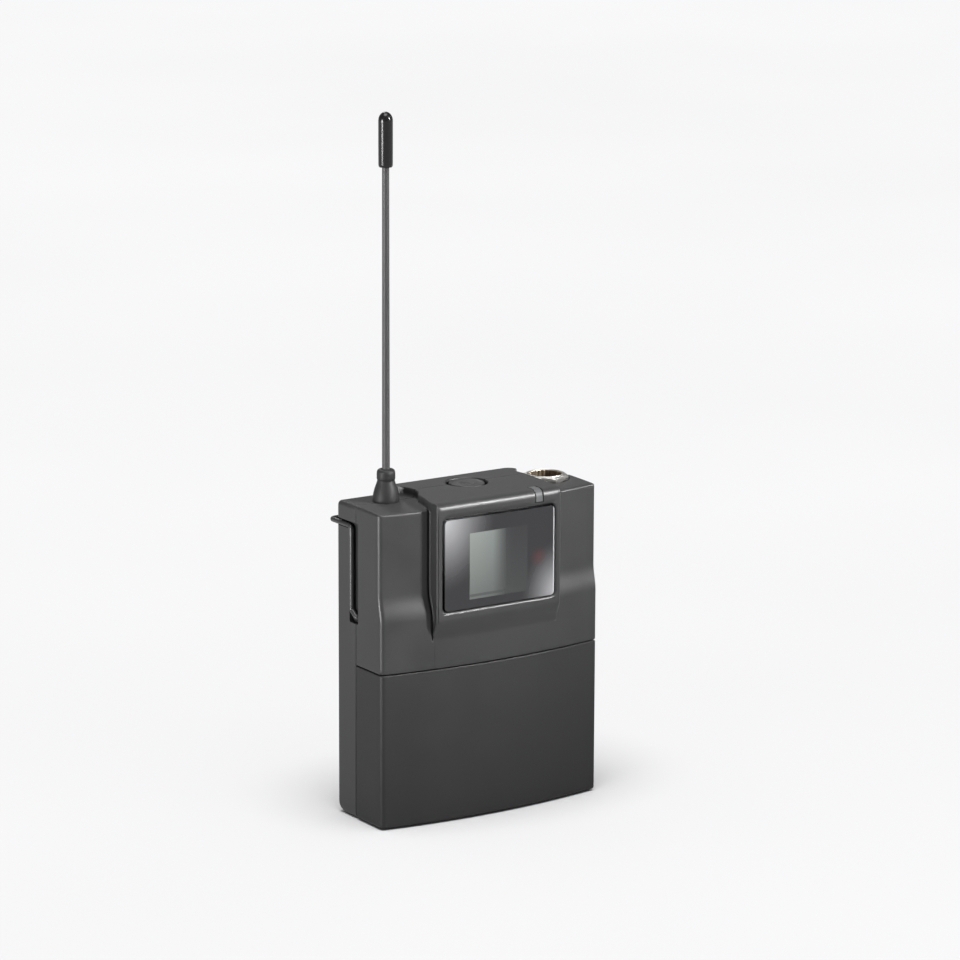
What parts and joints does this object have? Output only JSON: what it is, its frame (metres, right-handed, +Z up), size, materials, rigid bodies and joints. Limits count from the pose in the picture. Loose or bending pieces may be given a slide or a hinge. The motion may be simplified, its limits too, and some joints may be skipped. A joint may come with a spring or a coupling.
{
  "type": "wireless bodypack transmitter",
  "caption": "Belt-worn radio transmitter pack with whip antenna, mini connector, display, power button, sliding battery door and wire belt clip.",
  "frame": {"origin": "centre of the whole object's footprint on the plane of its flat bottom", "axes": "+Z up along the antenna, -Y to the front with the display, +X to the right seen from the front"},
  "size_m": [0.0758, 0.0338, 0.2085],
  "materials": {
    "case_plastic": "fine moulded texture",
    "door_plastic": "fine moulded texture",
    "chassis_plastic": "matt",
    "window_gloss": "polished smoked window",
    "lcd_glass": "reflective grey display",
    "ir_red": "transparent red",
    "clear_plastic": "milky clear",
    "button_plastic": "satin",
    "nickel": "satin nickel plating",
    "gold_contact": "gold plating",
    "steel": "plain steel",
    "clip_wire": "black coated spring steel",
    "whip_rubber": "satin",
    "tip_rubber": "smooth",
    "board_green": "solder mask",
    "insulator": "matt",
    "cell_wrap": "shrink sleeve"
  },
  "bodies": {
    "case": {"antenna_boot": "whip_rubber", "antenna_contact": "gold_contact", "antenna_ferrule": "nickel", "antenna_tip_cap": "tip_rubber", "antenna_whip": "whip_rubber", "battery_chassis": "chassis_plastic", "battery_lower": "cell_wrap", "battery_spring_lower": "steel", "battery_spring_upper": "steel", "battery_upper": "cell_wrap", "button_board": "board_green", "chassis_screw_1": "steel", "chassis_screw_2": "steel", "connector_insert": "insulator", "connector_nut": "nickel", "connector_pin_1": "gold_contact", "connector_pin_2": "gold_contact", "connector_pin_3": "gold_contact", "connector_shell": "nickel", "contact_left_lower": "nickel", "contact_left_upper": "nickel", "contact_right_lower": "nickel", "contact_right_upper": "nickel", "display_board": "board_green", "display_window": "window_gloss", "front_housing": "case_plastic", "housing_screw_1": "steel", "housing_screw_2": "steel", "housing_screw_3": "steel", "housing_screw_4": "steel", "ir_filter": "ir_red", "ir_transceiver": "insulator", "lcd_module": "lcd_glass", "light_pipe": "clear_plastic", "main_board": "board_green", "rear_housing": "case_plastic", "rf_shield": "nickel", "status_led": "clear_plastic", "tact_switch": "insulator"},
    "door": {"battery_door": "door_plastic"},
    "button": {"power_button": "button_plastic", "switch_plunger": "steel"},
    "clip": {"belt_clip": "clip_wire"}
  },
  "joints": [
    {"name": "battery_door_slide", "type": "slide", "parent": "case", "child": "door", "axis": [0, 0, -1], "range_m": [0, 0.038]},
    {"name": "power_button_press", "type": "slide", "parent": "case", "child": "button", "axis": [0, 0, -1], "range_m": [0, 0.0008], "stiffness_N_per_m": 1500},
    {"name": "belt_clip_flex", "type": "hinge", "parent": "case", "child": "clip", "pos_m": [0, 0.00195, 0.0606], "axis": [1, 0, 0], "range_deg": [0, 4], "stiffness_Nm_per_rad": 0.6}
  ]
}
